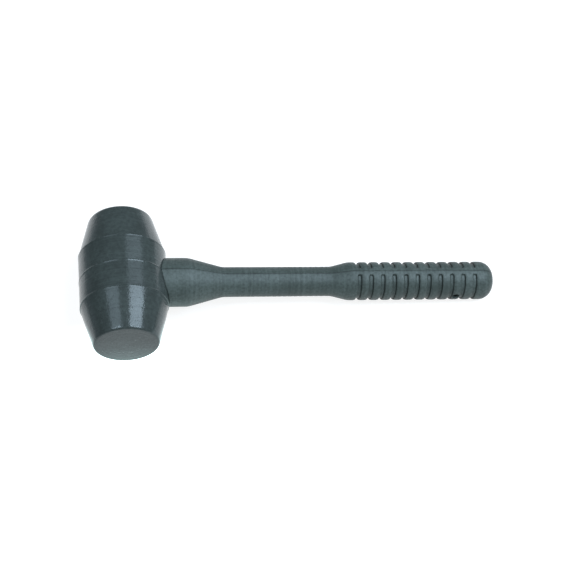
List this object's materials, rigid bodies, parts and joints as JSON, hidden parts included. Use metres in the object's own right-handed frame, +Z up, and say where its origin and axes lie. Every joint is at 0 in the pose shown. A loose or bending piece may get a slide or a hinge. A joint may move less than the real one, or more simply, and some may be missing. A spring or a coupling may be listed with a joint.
{
  "type": "rubber mallet",
  "caption": "Rubber mallet with a black barrel head between two flat striking faces, and a moulded steel-cored handle with a grooved grip and a hang hole.",
  "frame": {"origin": "centre of the foot of the mallet's box, on the surface that it lies on", "axes": "+X along the handle from the head to the butt, +Y along the head's axis, +Z up from the surface that the mallet lies on"},
  "size_m": [0.3284, 0.1102, 0.0684],
  "materials": {
    "head_rubber": "moulded hard rubber, semi-gloss",
    "handle_rubber": "moulded, matt, finely textured",
    "core_steel": "drawn tube and plain washers and pins",
    "plug_plastic": "natural moulded plastic"
  },
  "bodies": {
    "root": {"rubber_head": "head_rubber", "handle_moulding": "handle_rubber", "core_tube": "core_steel", "tip_plug": "plug_plastic", "butt_plug": "plug_plastic", "tip_washer": "core_steel", "collar_washer": "core_steel", "head_cross_pin": "core_steel", "handle_cross_pin": "core_steel"}
  },
  "joints": []
}
